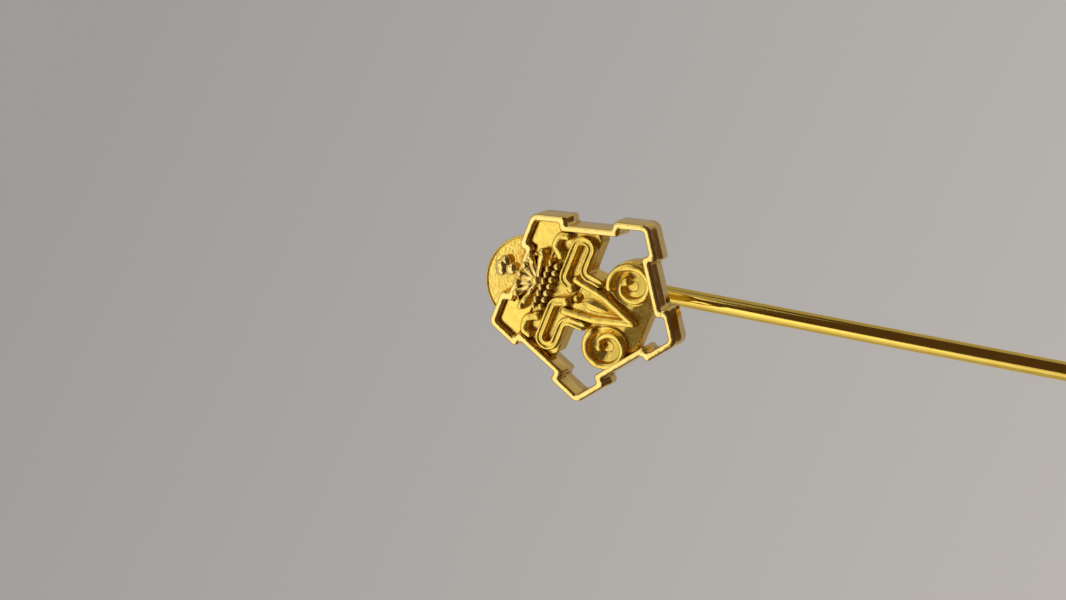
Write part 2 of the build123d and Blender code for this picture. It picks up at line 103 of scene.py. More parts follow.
LOOP_PATH = [(0.47, 1.09), (0.78, 1.85), (3.56, 1.85), (3.56, 0.78), (1.56, 0.78), (1.48, -0.48)]
LOOP_BEND = 0.5
SHOULDER_PATH = [(2.1, 2.5), (2.5, 3.1), (3.24, 3.02), (3.38, 2.52)]
SHOULDER_BEND = 0.3
LYRE_PATH = [(1.08, 1.0), (0.83, -0.94), (0.0, -3.44)]
LYRE_BEND = 2.0
VOLUTE_CENTRE = (2.1, -2.4)
VOLUTE_RX = 1.28
VOLUTE_RY = 1.38
VOLUTE_START = 118.0
VOLUTE_SWEEP = 410.0
VOLUTE_SHRINK = 0.68
VOLUTE_TIGHTENING = 2.0
VOLUTE_PIT = 0.24       # hole at the spiral's eye, as a share of the volute
VOLUTE_STEPS = 96
WEB = -0.5
WEB_TOP_Y = 0.66
BOSS_R = 0.36
LEAF_TIP_Y = -2.08
LEAF_HALF_WIDTH = 0.42


# ---------------------------------------------------------------- mesh helpers
DOME_AROUND = 28
DOME_RISES = 6


def add_object(name, data):
    made = bpy.data.objects.new(name, data)
    bpy.context.scene.collection.objects.link(made)
    return made


class Sculpt:
    """Collects closed shells in metres and turns them into one named piece."""

    def __init__(self, name):
        self.name = name
        self.verts = []
        self.faces = []

    def band(self, first, second, count):
        """Quads between two rings, given by the places of their first points."""
        for j in range(count):
            k = (j + 1) % count
            self.faces.append((first + j, first + k, second + k, second + j))

    def grid(self, rings):
        """Joins rings of equal length and caps both ends; each ring is a closed loop of points."""
        start = len(self.verts)
        count = len(rings[0])
        last = start + (len(rings) - 1) * count
        for ring in rings:
            self.verts.extend(ring)
        for first in range(start, last, count):
            self.band(first, first + count, count)
        self.faces.append(tuple(start + j for j in reversed(range(count))))
        self.faces.append(tuple(last + j for j in range(count)))

    def loop_grid(self, rings):
        """As grid, with the last ring joined to the first and no caps."""
        start = len(self.verts)
        count = len(rings[0])
        total = len(rings)
        for ring in rings:
            self.verts.extend(ring)
        for i in range(total):
            self.band(start + i * count, start + (i + 1) % total * count, count)

    def dome(self, x, y, radius, top, ground, stretch=1.0, turn=0.0, crown=0.9):
        """A round-topped stud standing on the head."""
        rise = min(crown * radius, top - ground)
        profile = [(radius, ground)]
        for k in range(DOME_RISES + 1):
            angle = pi / 2 * k / DOME_RISES
            profile.append((radius * max(cos(angle), 0.02), top - rise + rise * sin(angle)))
        rings = []
        for reach, height in profile:
            ring = []
            for k in range(DOME_AROUND):
                angle = 2 * pi * k / DOME_AROUND
                u = reach * cos(angle) * stretch
                v = reach * sin(angle)
                ring.append(on_head(x + u * cos(turn) - v * sin(turn),
                                    y + u * sin(turn) + v * cos(turn), height))
            rings.append(ring)
        self.grid(rings)

    def build(self, body, nodes, material):
        mesh = bpy.data.meshes.new(self.name)
        mesh.from_pydata([tuple(v) for v in self.verts], [], self.faces)
        piece = add_object(self.name, mesh)
        tidy_normals(piece)
        finish_piece(piece, body, nodes, material)
        return piece


def tidy_normals(piece):
    """Turns every face outwards and shades the piece smooth."""
    mesh = piece.data
    bpy.context.view_layer.objects.active = piece
    piece.select_set(True)
    bpy.ops.object.mode_set(mode="EDIT")
    bpy.ops.mesh.select_all(action="SELECT")
    bpy.ops.mesh.normals_make_consistent(inside=False)
    bpy.ops.object.mode_set(mode="OBJECT")
    piece.select_set(False)
    mesh.shade_smooth()


def finish_piece(piece, body, nodes, material):
    """Gives a piece its material and its moving body, and hides the CAD nodes that it stands for."""
    piece.data.materials.clear()
    piece.data.materials.append(material)
    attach(piece, body)
    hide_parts(*nodes)


def apply_modifiers(piece):
    """Replaces the mesh by its modified self."""
    depsgraph = bpy.context.evaluated_depsgraph_get()
    made = bpy.data.meshes.new_from_object(piece.evaluated_get(depsgraph))
    old = piece.data
    materials = list(old.materials)
    piece.modifiers.clear()
    piece.data = made
    made.materials.clear()
    for material in materials:
        made.materials.append(material)
    bpy.data.meshes.remove(old)
    made.shade_smooth()


def fuse_soft(piece, voxel_mm, rounds, keep):
    """Welds a piece's shells into one skin with soft inner corners, then thins its faces."""
    remesh = piece.modifiers.new("fuse", "REMESH")
    remesh.mode = "VOXEL"
    remesh.voxel_size = voxel_mm * MM
    smooth = piece.modifiers.new("soften", "SMOOTH")
    smooth.factor = 0.5
    smooth.iterations = rounds
    thin = piece.modifiers.new("thin", "DECIMATE")
    thin.ratio = keep
    apply_modifiers(piece)


def ruffle(piece, size_mm, depth_mm, seed):
    """Small unevenness left by casting and hand polishing."""
    vertices = piece.data.vertices
    shift = Vector((seed * 3.1, seed * 1.7, seed * 2.3))
    moved = []
    for vertex, normal in zip(vertices, [v.normal.copy() for v in vertices]):
        value = noise.noise(vertex.co / (size_mm * MM) + shift)
        moved.extend(vertex.co + normal * value * depth_mm * MM)
    vertices.foreach_set("co", moved)
    piece.data.update()


# ---------------------------------------------------------------- paths in the head's plane
def rounded(points, bend, step=0.07):
    """Straight runs joined by arcs of one radius, sampled evenly enough to sweep along."""
    corners = [Vector(p) for p in points]
    path = [corners[0]]
    for i in range(1, len(corners) - 1):
        here = corners[i]
        back = (corners[i - 1] - here).normalized()
        ahead = (corners[i + 1] - here).normalized()
        half = back.angle(ahead) / 2
        reach = bend / tan(half)
        centre = here + (back + ahead).normalized() * (bend / sin(half))
        a = here + back * reach - centre
        b = here + ahead * reach - centre
        turn = atan2(a.x * b.y - a.y * b.x, a.dot(b))
        count = max(4, int(abs(turn) * bend / step))
        for k in range(count + 1):
            t = turn * k / count
            path.append(centre + Vector((a.x * cos(t) - a.y * sin(t), a.x * sin(t) + a.y * cos(t))))
    path.append(corners[-1])
    return spaced(path, step)


def spaced(path, step):
    """The same path with points about one step apart."""
    out = [path[0]]
    for a, b in zip(path, path[1:]):
        run = (b - a).length
        count = max(1, round(run / step))
        if run < step * 0.3:
            continue
        for k in range(1, count + 1):
            out.append(a.lerp(b, k / count))
    return out


def mirrored(points, side):
    return [(side * p[0], p[1]) for p in points]


def volute_path(side):
    """Clockwise elliptical spiral from the top, closing in on its centre."""
    path = []
    for i in range(VOLUTE_STEPS + 1):
        share = i / VOLUTE_STEPS
        angle = radians(VOLUTE_START - VOLUTE_SWEEP * share)
        size = 1 - VOLUTE_SHRINK * share ** VOLUTE_TIGHTENING
        x = VOLUTE_CENTRE[0] + VOLUTE_RX * size * cos(angle)
        y = VOLUTE_CENTRE[1] + VOLUTE_RY * size * sin(angle)
        path.append(Vector((side * x, y)))
    return path


def both_sides(half):
    """A whole cross-section from its right half, which is listed from the middle out."""
    return [(-across, height) for across, height in reversed(half[1:])] + half


# Cross-sections: across from the middle (0) to the edge (1), then height from the strand's top.
TWIN_RIDGE = both_sides([(0.0, -0.04), (0.12, -0.036), (0.24, -0.02), (0.4, -0.003), (0.6, 0.0),
                         (0.78, -0.01), (0.9, -0.055), (0.97, -0.16), (1.0, -0.34)])
ROUND_RIDGE = both_sides([(0.0, 0.012), (0.45, 0.0), (0.75, -0.025), (0.9, -0.09), (0.97, -0.2),
                          (1.0, -0.36)])
DROP = both_sides([(0.0, 0.0), (0.3, 0.0), (0.65, -0.025), (0.87, -0.11), (0.97, -0.3), (1.0, -0.6)])
BLADE = both_sides([(0.0, 0.0), (0.12, -0.012), (0.4, -0.05), (0.7, -0.075), (0.88, -0.09),
                    (0.97, -0.16), (1.0, -0.3)])

END_PLACES = (0.98, 0.9, 0.75, 0.5, 0.25)   # rings of a half-round end, as shares of its radius
END_FLATNESS = 0.35     # share of the section's fall that is left at the very end
END_SINK = 0.3          # how far a strand's end sinks, for a whole loss of fall
ROOT = 0.03             # how far a piece goes into the ground that it stands on


def sweep_ribbon(sculpt, path, section, width, top=0.0, ground=GROUND, width_at=None, top_at=None):
    """Sweeps a cross-section along a path, with half-round ends."""
    half = width / 2
    first = (path[0] - path[1]).normalized()
    last = (path[-1] - path[-2]).normalized()
    points = [(path[0] + first * half * e, sqrt(1 - e * e)) for e in END_PLACES]
    points += [(p, 1.0) for p in path]
    points += [(path[-1] + last * half * e, sqrt(1 - e * e)) for e in reversed(END_PLACES)]
    rings = []
    total = len(points) - 1
    for i, (point, squeeze) in enumerate(points):
        before = points[max(i - 1, 0)][0]
        after = points[min(i + 1, total)][0]
        tangent = (after - before).normalized()
        across = Vector((-tangent.y, tangent.x))
        share = i / total
        reach = half * squeeze * (width_at(share) if width_at else 1.0)
        crest = top + (top_at(share) if top_at else 0.0)
        fall = END_FLATNESS + (1 - END_FLATNESS) * squeeze
        ring = []
        for a, h in section:
            place = point + across * a * reach
            ring.append(on_head(place.x, place.y, crest - (1 - fall) * END_SINK + h * fall))
        for a in (1.0, -1.0):
            place = point + across * a * reach
            ring.append(on_head(place.x, place.y, ground - ROOT))
        rings.append(ring)
    sculpt.grid(rings)


# ---------------------------------------------------------------- border outline
def border_points(inset=0.0):
    radius = HEAD_R - inset / cos(HALF_CORNER)
    lobe = LOBE - inset - inset * tan(HALF_CORNER)
    points = []
    for k in range(5):
        angle = radians(-90 + 72 * k)
        corner = Vector((radius * cos(angle), radius * sin(angle)))
        for turn in (-1, 1):
            along = angle + turn * radians(126)
            out = angle + turn * HALF_CORNER
            step = corner + Vector((cos(along), sin(along))) * lobe
            foot = step - Vector((cos(out), sin(out))) * NOTCH
            points += [foot, step, corner] if turn < 0 else [step, foot]
    return points


CORNER_STEPS = 6
OUTER_EASE = 0.6        # rounding of the outline's jutting corners
LEAST_EASE = 0.3        # what is left of it on the inside
NOTCH_EASE = 0.3        # rounding of the corners that point inwards
NOTCH_EASE_GROWTH = 0.6   # how much it grows for each millimetre inwards


def border_ring(inset):
    """The outline set inwards, each corner cut by an arc of the same number of points."""
    corners = border_points(inset)
    count = len(corners)
    ring = []
    for i, here in enumerate(corners):
        back = corners[i - 1] - here
        ahead = corners[(i + 1) % count] - here
        cross = back.x * ahead.y - back.y * ahead.x
        juts_out = cross < 0
        notch_ease = NOTCH_EASE + NOTCH_EASE_GROWTH * inset
        radius = max(LEAST_EASE, OUTER_EASE - inset) if juts_out else notch_ease
        half = back.angle(ahead) / 2
        reach = min(radius / tan(half), 0.45 * min(back.length, ahead.length))
        radius = reach * tan(half)
        a = here + back.normalized() * reach
        b = here + ahead.normalized() * reach
        centre = here + (back.normalized() + ahead.normalized()).normalized() * radius / sin(half)
        for k in range(CORNER_STEPS + 1):
            point = a.lerp(b, k / CORNER_STEPS)
            ring.append(centre + (point - centre).normalized() * radius)
    return ring


# ---------------------------------------------------------------- materials
class Nodes:
    """Short hand for building a node tree."""

    def __init__(self, name):
        self.material = bpy.data.materials.new(name)
        self.material.use_nodes = True
        self.tree = self.material.node_tree
        self.shader = self.tree.nodes["Principled BSDF"]

    def new(self, kind, **values):
        node = self.tree.nodes.new(kind)
        for key, value in values.items():
            if hasattr(node, key):
                setattr(node, key, value)
            else:
                node.inputs[key].default_value = value
        return node

    def link(self, out, into):
        self.tree.links.new(out, into)

    def place(self, scale=(1, 1, 1)):
        """Object coordinates in millimetres, stretched by a scale."""
        where = self.new("ShaderNodeTexCoord")
        mapping = self.new("ShaderNodeMapping")
        mapping.inputs["Scale"].default_value = [s / MM for s in scale]
        self.link(where.outputs["Object"], mapping.inputs["Vector"])
        return mapping.outputs["Vector"]

    def noise(self, vector, scale, detail=3.0, roughness=0.55):
        node = self.new("ShaderNodeTexNoise", Scale=scale, Detail=detail, Roughness=roughness)
        self.link(vector, node.inputs["Vector"])
        return node.outputs["Fac"]

    def ramp(self, value, low, high, out_low, out_high):
        node = self.new("ShaderNodeMapRange")
        node.inputs["From Min"].default_value = low
        node.inputs["From Max"].default_value = high
        node.inputs["To Min"].default_value = out_low
        node.inputs["To Max"].default_value = out_high
        self.link(value, node.inputs["Value"])
        return node.outputs["Result"]

    def mix(self, factor, a, b):
        node = self.new("ShaderNodeMix", data_type="RGBA")
        self.link(factor, node.inputs[0])
        for index, value in ((6, a), (7, b)):
            if isinstance(value, tuple):
                node.inputs[index].default_value = (*value, 1)
            else:
                self.link(value, node.inputs[index])
        return node.outputs[2]

    def bump(self, height, strength, distance_mm, normal=None):
        node = self.new("ShaderNodeBump", Strength=strength, Distance=distance_mm * MM)
        self.link(height, node.inputs["Height"])
        if normal is not None:
            self.link(normal, node.inputs["Normal"])
        return node.outputs["Normal"]


GOLD_BRIGHT = (0.96, 0.7, 0.14)
GOLD_MID = (0.91, 0.63, 0.11)
# A paler gold, used on the border and the crest so that they look lighter than the rest of the head.
PALE_GOLD_BRIGHT = (0.95, 0.7, 0.225)
PALE_GOLD_MID = (0.9, 0.64, 0.18)
EDGE_TINT = (1.0, 0.86, 0.6, 1.0)
# Dark brown that is mixed into crevices as painted shade.
PAINTED_SHADE_BROWN = (0.2, 0.08, 0.018)
GRAIN_BRIGHT = (0.96, 0.71, 0.16)
GRAIN_MID = (0.9, 0.63, 0.12)
SOLDER_BRIGHT = (0.9, 0.68, 0.25)
SOLDER_DULL = (0.78, 0.55, 0.18)
STEEL_LIGHT = (0.62, 0.61, 0.58)
STEEL_GREY = (0.5, 0.49, 0.47)
PAPER_SHADE = (0.62, 0.61, 0.59)
PAPER_LIGHT = (0.68, 0.67, 0.65)
CARD_LIGHT = (0.075, 0.041, 0.027)
CARD_DARK = (0.055, 0.031, 0.022)


def gold(name, roughness, bump_mm, grain_mm, painted_shade=0.0, reach_mm=0.3, wave_mm=0.02,
         streaks=(1, 1, 1), tint=(GOLD_BRIGHT, GOLD_MID)):
    """Gold-toned plate: patchy tone, worn gloss, fine grain, and painted brown shade in its crevices."""
    n = Nodes(name)
    n.shader.inputs["Metallic"].default_value = 1.0
    n.shader.inputs["Specular Tint"].default_value = EDGE_TINT
    where = n.place()
    patches = n.noise(where, 1.1, 4.0)
    colour = n.mix(n.ramp(patches, 0.35, 0.68, 0, 1), tint[0], tint[1])
    # Painted shade: where the ambient occlusion finds a crevice, the colour is mixed towards dark brown,
    # more or less as the noise wobbles it.
    if painted_shade:
        crevice = n.new("ShaderNodeAmbientOcclusion", samples=6)
        crevice.inputs["Distance"].default_value = reach_mm * MM
        wobble = n.noise(where, 2.6, 3.0)
        shade_amount = n.new("ShaderNodeMath", operation="MULTIPLY")
        n.link(n.ramp(crevice.outputs["AO"], 0.1, 0.62, painted_shade, 0), shade_amount.inputs[0])
        n.link(n.ramp(wobble, 0.3, 0.7, 0.75, 1.1), shade_amount.inputs[1])
        shade_amount.use_clamp = True
        colour = n.mix(shade_amount.outputs[0], colour, PAINTED_SHADE_BROWN)
    n.link(colour, n.shader.inputs["Base Color"])
    rub = n.noise(where, 3.7, 5.0, 0.65)
    n.link(n.ramp(rub, 0.3, 0.7, roughness * 0.72, roughness * 1.35), n.shader.inputs["Roughness"])
    fine = n.noise(n.place(streaks), 1 / grain_mm, 4.0, 0.6)
    broad = n.noise(where, 2.3, 2.0)
    normal = n.bump(broad, 0.5, wave_mm)
    n.link(n.bump(fine, 0.6, bump_mm, normal), n.shader.inputs["Normal"])
    return n.material


def grained_gold(name):
    """The pad's face: a coarse bright grain over the plate."""
    n = Nodes(name)
    n.shader.inputs["Metallic"].default_value = 1.0
    n.shader.inputs["Specular Tint"].default_value = EDGE_TINT
    where = n.place()
    patches = n.noise(where, 0.8, 3.0)
    colour = n.mix(n.ramp(patches, 0.35, 0.65, 0, 1), GRAIN_BRIGHT, GRAIN_MID)
    n.link(colour, n.shader.inputs["Base Color"])
    rub = n.noise(where, 6.0, 4.0)
    n.link(n.ramp(rub, 0.3, 0.7, 0.2, 0.36), n.shader.inputs["Roughness"])
    grit = n.noise(where, 9.0, 3.0, 0.7)
    n.link(n.bump(grit, 0.5, 0.01), n.shader.inputs["Normal"])
    return n.material


def steel(name, roughness):
    """Bare steel of the clutch's inner parts, lightly rubbed."""
    n = Nodes(name)
    n.shader.inputs["Metallic"].default_value = 1.0
    where = n.place()
    patches = n.noise(where, 2.0, 3.0)
    tone = n.mix(n.ramp(patches, 0.3, 0.7, 0, 1), STEEL_LIGHT, STEEL_GREY)
    n.link(tone, n.shader.inputs["Base Color"])
    rub = n.noise(where, 8.0, 4.0)
    n.link(n.ramp(rub, 0.3, 0.7, roughness * 0.7, roughness * 1.4), n.shader.inputs["Roughness"])
    n.link(n.bump(rub, 0.4, 0.004), n.shader.inputs["Normal"])
    return n.material


def paper(name):
    """The pale floor."""
    n = Nodes(name)
    where = n.place()
    cloud = n.noise(where, 0.01, 3.0)
    tone = n.mix(n.ramp(cloud, 0.3, 0.7, 0, 1), PAPER_SHADE, PAPER_LIGHT)
    n.link(tone, n.shader.inputs["Base Color"])
    n.shader.inputs["Roughness"].default_value = 0.85
    return n.material


def card_stock(name):
    """Dark brown card that stands in for the unlit side of the room."""
    n = Nodes(name)
    cloud = n.noise(n.place(), 0.004, 2.0)
    tone = n.mix(n.ramp(cloud, 0.3, 0.7, 0, 1), CARD_LIGHT, CARD_DARK)
    n.shader.inputs["Base Color"].default_value = (0, 0, 0, 1)
    n.shader.inputs["Roughness"].default_value = 1.0
    n.link(tone, n.shader.inputs["Emission Color"])
    n.shader.inputs["Emission Strength"].default_value = 1.0
    return n.material


CARD = card_stock("dark_card")
# The shade amounts below set how strongly painted shade darkens each gold's crevices.
RELIEF = gold("relief_gold", roughness=0.25, bump_mm=0.003, grain_mm=0.09, painted_shade=0.34)
CREST = gold("crest_gold", roughness=0.24, bump_mm=0.004, grain_mm=0.09, painted_shade=0.42,
             tint=(PALE_GOLD_BRIGHT, GOLD_BRIGHT))
BORDER = gold("border_gold", roughness=0.12, bump_mm=0.002, grain_mm=0.12, painted_shade=0.4,
              tint=(PALE_GOLD_BRIGHT, PALE_GOLD_MID))
GROUNDS = gold("ground_gold", roughness=0.24, bump_mm=0.004, grain_mm=0.08, painted_shade=0.5, reach_mm=0.4)
FIELDS = gold("field_gold", roughness=0.22, bump_mm=0.004, grain_mm=0.07, painted_shade=0.65)
WIRE = gold("wire_gold", roughness=0.06, bump_mm=0.0012, grain_mm=0.05, wave_mm=0.001,
            streaks=(1, 1, 0.03))
TURNED = gold("turned_gold", roughness=0.13, bump_mm=0.002, grain_mm=0.03, wave_mm=0.002,
              streaks=(0.05, 0.05, 1))
SOLDER = gold("solder_gold", roughness=0.26, bump_mm=0.012, grain_mm=0.15,
              tint=(SOLDER_BRIGHT, SOLDER_DULL))
GRAIN = grained_gold("pad_grain_gold")
SPRING = steel("spring_steel_finish", 0.3)
BALLS = steel("ball_steel_finish", 0.12)
PAPER = paper("pale_paper")


# ---------------------------------------------------------------- border frame
def make_border():
    """The notched wall: rolled front edge, drafted front half and a straight back half."""
    depth = -HEAD_DEPTH
    section = [(0.0, depth), (0.0, -1.5), (0.002, -1.42), (0.008, -1.33), (0.045, -0.6), (0.058, -0.3),
               (0.064, -0.17), (0.078, -0.08), (0.105, -0.03), (0.15, -0.006), (0.2, 0.0), (0.37, 0.0),
               (0.425, -0.01), (0.458, -0.04), (0.476, -0.09), (0.485, -0.17), (0.489, -0.35),
               (0.493, -1.4), (WALL, depth)]
    sculpt = Sculpt("border_frame_wall")
    rings = []
    for inset, height in section:
        rings.append([on_head(p.x, p.y, height) for p in border_ring(inset)])
    sculpt.loop_grid(rings)
    piece = sculpt.build("pin", ["border_frame"], BORDER)
    ruffle(piece, 1.1, 0.018, 1)


# ---------------------------------------------------------------- grounds
GROUND_KEEP = 0.4       # share of the fused skin's faces that is kept


def soften_copy(nodes, name, voxel_mm, rounds, material):
    """A cast-looking copy of CAD pieces that touch: same shape, one skin, eased edges."""
    verts = []
    faces = []
    for node in nodes:
        mesh = frame["nodes"][node].data
        start = len(verts)
        verts.extend(v.co.copy() for v in mesh.vertices)
        faces.extend([start + i for i in p.vertices] for p in mesh.polygons)
    mesh = bpy.data.meshes.new(name)
    mesh.from_pydata(verts, [], faces)
    piece = add_object(name, mesh)
    fuse_soft(piece, voxel_mm, rounds, GROUND_KEEP)
    finish_piece(piece, "pin", nodes, material)
    return piece


SLOPE_TOP_Y = -3.0
SLOPE = tan(radians(10))
FACE_SKIN = 0.2         # what lies less than this below the ground's face falls with it


def slope_ground(piece):
    """The ground falls away below the volutes, towards the border's lowest lobe."""
    for vertex in piece.data.vertices:
        place = vertex.co - on_head(0, 0, 0)
        y = place.dot(HEAD_UP) / MM
        if y < SLOPE_TOP_Y and place.dot(HEAD_OUT) / MM > GROUND - FACE_SKIN:
            vertex.co -= HEAD_OUT * (SLOPE_TOP_Y - y) * SLOPE * MM
    piece.data.update()


# ---------------------------------------------------------------- scrollwork
CAST_VOXEL = 0.03       # fineness of the fused skin
CREST_VOXEL = 0.028
LYRE_VOXEL = 0.033
RIPPLE_SIZE = 0.6       # of the scrolls' slight unevenness
RIPPLE = 0.022
CREST_RIPPLE_SIZE = 0.42
LOOP_SWELL = 1.06       # widths of the strands, against those of the CAD
SCROLL_SWELL = 1.1
BALL_TOP = 0.02
BALL_CROWN = 0.5


def make_side_loop(side, hand):
    """A balled strand with a shallow groove along its top."""
    sculpt = Sculpt(f"side_loop_{hand}_scroll")
    path = rounded(mirrored(LOOP_PATH, side), LOOP_BEND)
    sweep_ribbon(sculpt, path, TWIN_RIDGE, STRAND * LOOP_SWELL)
    x, y = LOOP_PATH[0]
    sculpt.dome(side * x, y, BALL_END_R, BALL_TOP, GROUND, crown=BALL_CROWN)
    piece = sculpt.build("pin", [f"side_loop_{hand}"], RELIEF)
    fuse_soft(piece, CAST_VOXEL, 4, 0.5)
    ruffle(piece, RIPPLE_SIZE, RIPPLE, 2 + side)


def make_shoulder(side, hand):
    """The small curl in an upper corner."""
    sculpt = Sculpt(f"shoulder_scroll_{hand}_scroll")
    path = rounded(mirrored(SHOULDER_PATH, side), SHOULDER_BEND)
    sweep_ribbon(sculpt, path, ROUND_RIDGE, FINE_STRAND * SCROLL_SWELL)
    x, y = SHOULDER_PATH[0]
    sculpt.dome(side * x, y, BALL_END_R, BALL_TOP, GROUND, crown=BALL_CROWN)
    piece = sculpt.build("pin", [f"shoulder_scroll_{hand}"], RELIEF)
    fuse_soft(piece, CAST_VOXEL, 4, 0.5)
    ruffle(piece, RIPPLE_SIZE, RIPPLE, 5 + side)


SKIRT = GROUND - 0.25   # the volutes' sides reach down past the sloping ground
DISH_HOLLOW = 0.42      # how far a volute's floor falls, rim to centre
DISH_AROUND = 96
EYE_DEPTH = 0.24        # how far the spiral sinks towards its ball
EYE_THINNING = 0.35


def make_volute(side, hand):
    """A spiral that narrows and sinks to its ball, over a smooth hollow floor."""
    sculpt = Sculpt(f"volute_{hand}_scroll")
    sweep_ribbon(sculpt, volute_path(side), ROUND_RIDGE, FINE_STRAND * SCROLL_SWELL, ground=SKIRT,
                 width_at=lambda s: 1.0 - EYE_THINNING * s, top_at=lambda s: -EYE_DEPTH * s * s)
    end = volute_path(side)[-1]
    sculpt.dome(end.x, end.y, BALL_END_R * 0.85, -0.1, GROUND, crown=0.5)
    rings = []
    shares = [0.99] + [1 - 0.03 * k for k in range(1, 25)] + [VOLUTE_PIT]
    for share in shares:
        sink = DISH - 0.02 - DISH_HOLLOW * (1 - share)
        ring = []
        for k in range(DISH_AROUND):
            a = 2 * pi * k / DISH_AROUND
            x = VOLUTE_CENTRE[0] + VOLUTE_RX * share * cos(a)
            y = VOLUTE_CENTRE[1] + VOLUTE_RY * share * sin(a)
            ring.append((side * x, y, sink))
        rings.append(ring)
    rings.append([(x, y, SKIRT) for x, y, h in rings[-1]])
    rings.append([(x, y, SKIRT) for x, y, h in rings[0]])
    sculpt.loop_grid([[on_head(x, y, h) for x, y, h in ring] for ring in rings])
    piece = sculpt.build("pin", [f"volute_{hand}"], RELIEF)
    fuse_soft(piece, CAST_VOXEL, 4, 0.5)
    ruffle(piece, RIPPLE_SIZE, RIPPLE, 8 + side)


WEB_ACROSS = 12
WEB_CROWN = 0.03


def make_lyre():
    """Two strands and the web between them, its face gently crowned."""
    sculpt = Sculpt("lyre_stem_scroll")
    halves = []
    for side in (-1, 1):
        path = rounded(mirrored(LYRE_PATH, side), LYRE_BEND)
        sweep_ribbon(sculpt, path, ROUND_RIDGE, FINE_STRAND, width_at=lambda s: SCROLL_SWELL - 0.15 * s)
        halves.append([p for p in path if p.y < WEB_TOP_Y])
    rings = []
    for left, right in zip(*halves):
        top = []
        for k in range(WEB_ACROSS + 1):
            t = k / WEB_ACROSS
            crown = WEB_CROWN * (1 - (2 * t - 1) ** 2)
            point = left.lerp(right, t)
            top.append(on_head(point.x, point.y, WEB - WEB_CROWN + crown))
        under = [on_head(p.x, p.y, GROUND - ROOT) for p in (right, left)]
        rings.append(top + under)
    sculpt.grid(rings)
    sculpt.dome(0, BOSS_Y, BOSS_R + 0.02, WEB - 0.01, GROUND, crown=0.1)
    piece = sculpt.build("pin", ["lyre_stem"], RELIEF)
    fuse_soft(piece, LYRE_VOXEL, 2, 0.5)
    ruffle(piece, RIPPLE_SIZE, 0.02, 12)


LEAF_TOP_Y = -0.04
LEAF_LEVEL = -0.25
LEAF_WIDEST = 0.3       # where the leaf is widest, as a share of its length
LEAF_TAPER = 1.4
LEAF_LEAST = 0.08       # width of its ends, as a share of the widest place


def make_leaf():
    """A pointed leaf, its two faces rising to a midrib."""
    sculpt = Sculpt("centre_leaf_blade")
    path = spaced([Vector((0, LEAF_TOP_Y)), Vector((0, LEAF_TIP_Y + 0.1))], 0.05)

    def breadth(share):
        if share < LEAF_WIDEST:
            return max(LEAF_LEAST, sin(pi / 2 * share / LEAF_WIDEST))
        return max(LEAF_LEAST, 1 - ((share - LEAF_WIDEST) / (1 - LEAF_WIDEST)) ** LEAF_TAPER)

    sweep_ribbon(sculpt, path, BLADE, 2 * LEAF_HALF_WIDTH, top=LEAF_LEVEL, ground=WEB - 0.02,
                 width_at=breadth, top_at=lambda s: -0.06 * s)
    piece = sculpt.build("pin", ["centre_leaf"], RELIEF)
    fuse_soft(piece, CAST_VOXEL, 1, 0.5)


def make_boss():
    """A round stud on a low collar."""
    sculpt = Sculpt("centre_boss_stud")
    sculpt.dome(0, BOSS_Y, BOSS_R, -0.26, WEB - 0.03, crown=0.3)
    sculpt.dome(0, BOSS_Y, 0.25, 0.0, WEB - 0.03, crown=0.7)
    piece = sculpt.build("pin", ["centre_boss"], RELIEF)
    fuse_soft(piece, CAST_VOXEL, 3, 0.6)


# ---------------------------------------------------------------- crest
PALMETTE_FOOT = Vector((0.0, 3.24))
PALMETTE_RX = 2.18
PALMETTE_RY = 1.45
PETALS = 7
PETAL_STEP = 26.0
PETAL_ROOT = 0.36
PETAL_TIP_R = 0.26
PALMETTE_EYE_R = 0.42


def fan_ray(place):
    """The way from the palmette's foot through a petal's place, and the length to its rim."""
    angle = radians(90 + PETAL_STEP * (place - (PETALS - 1) / 2))
    reach = ((cos(angle) / PALMETTE_RX) ** 2 + (sin(angle) / PALMETTE_RY) ** 2) ** -0.5
    return Vector((cos(angle), sin(angle))), reach


def make_palmette():
    """A fan of drops, each with a grain at its tip, round a half-round eye."""
    sculpt = Sculpt("crest_palmette_fan")
    for k in range(PETALS):
        way, reach = fan_ray(k)
        root = PALMETTE_FOOT + way * PETAL_ROOT
        tip = PALMETTE_FOOT + way * (reach - PETAL_TIP_R)
        path = spaced([root, tip], 0.06)
        sweep_ribbon(sculpt, path, DROP, 2.2 * PETAL_TIP_R, top=CREST_TOP - 0.06, ground=CREST_GROUND,
                     width_at=lambda s: 0.56 + 0.44 * min(1, s * 1.15) ** 1.2,
                     top_at=lambda s: -0.12 * (1 - s))
        grain = PALMETTE_FOOT + way * (reach - 0.2)
        sculpt.dome(grain.x, grain.y, 0.23, CREST_TOP, CREST_GROUND, crown=0.5)
        if k < PETALS - 1:
            gap, arm = fan_ray(k + 0.5)
            seed = PALMETTE_FOOT + gap * (arm - 0.24)
            sculpt.dome(seed.x, seed.y, 0.12, CREST_TOP - 0.2, CREST_GROUND, crown=0.6)
    sculpt.dome(PALMETTE_FOOT.x, PALMETTE_FOOT.y, PALMETTE_EYE_R * 0.95, CREST_TOP - 0.2, CREST_GROUND,
                crown=0.3)
    sculpt.dome(PALMETTE_FOOT.x, PALMETTE_FOOT.y + 0.1, 0.26, CREST_TOP, CREST_GROUND, crown=0.5)
    piece = sculpt.build("pin", ["crest_palmette"], CREST)
    fuse_soft(piece, CREST_VOXEL, 2, 0.5)
    ruffle(piece, CREST_RIPPLE_SIZE, 0.05, 21)


ROPE_Y = 2.88
ROPE_HALF_LENGTH = 1.68
ROPE_LAYS = 8


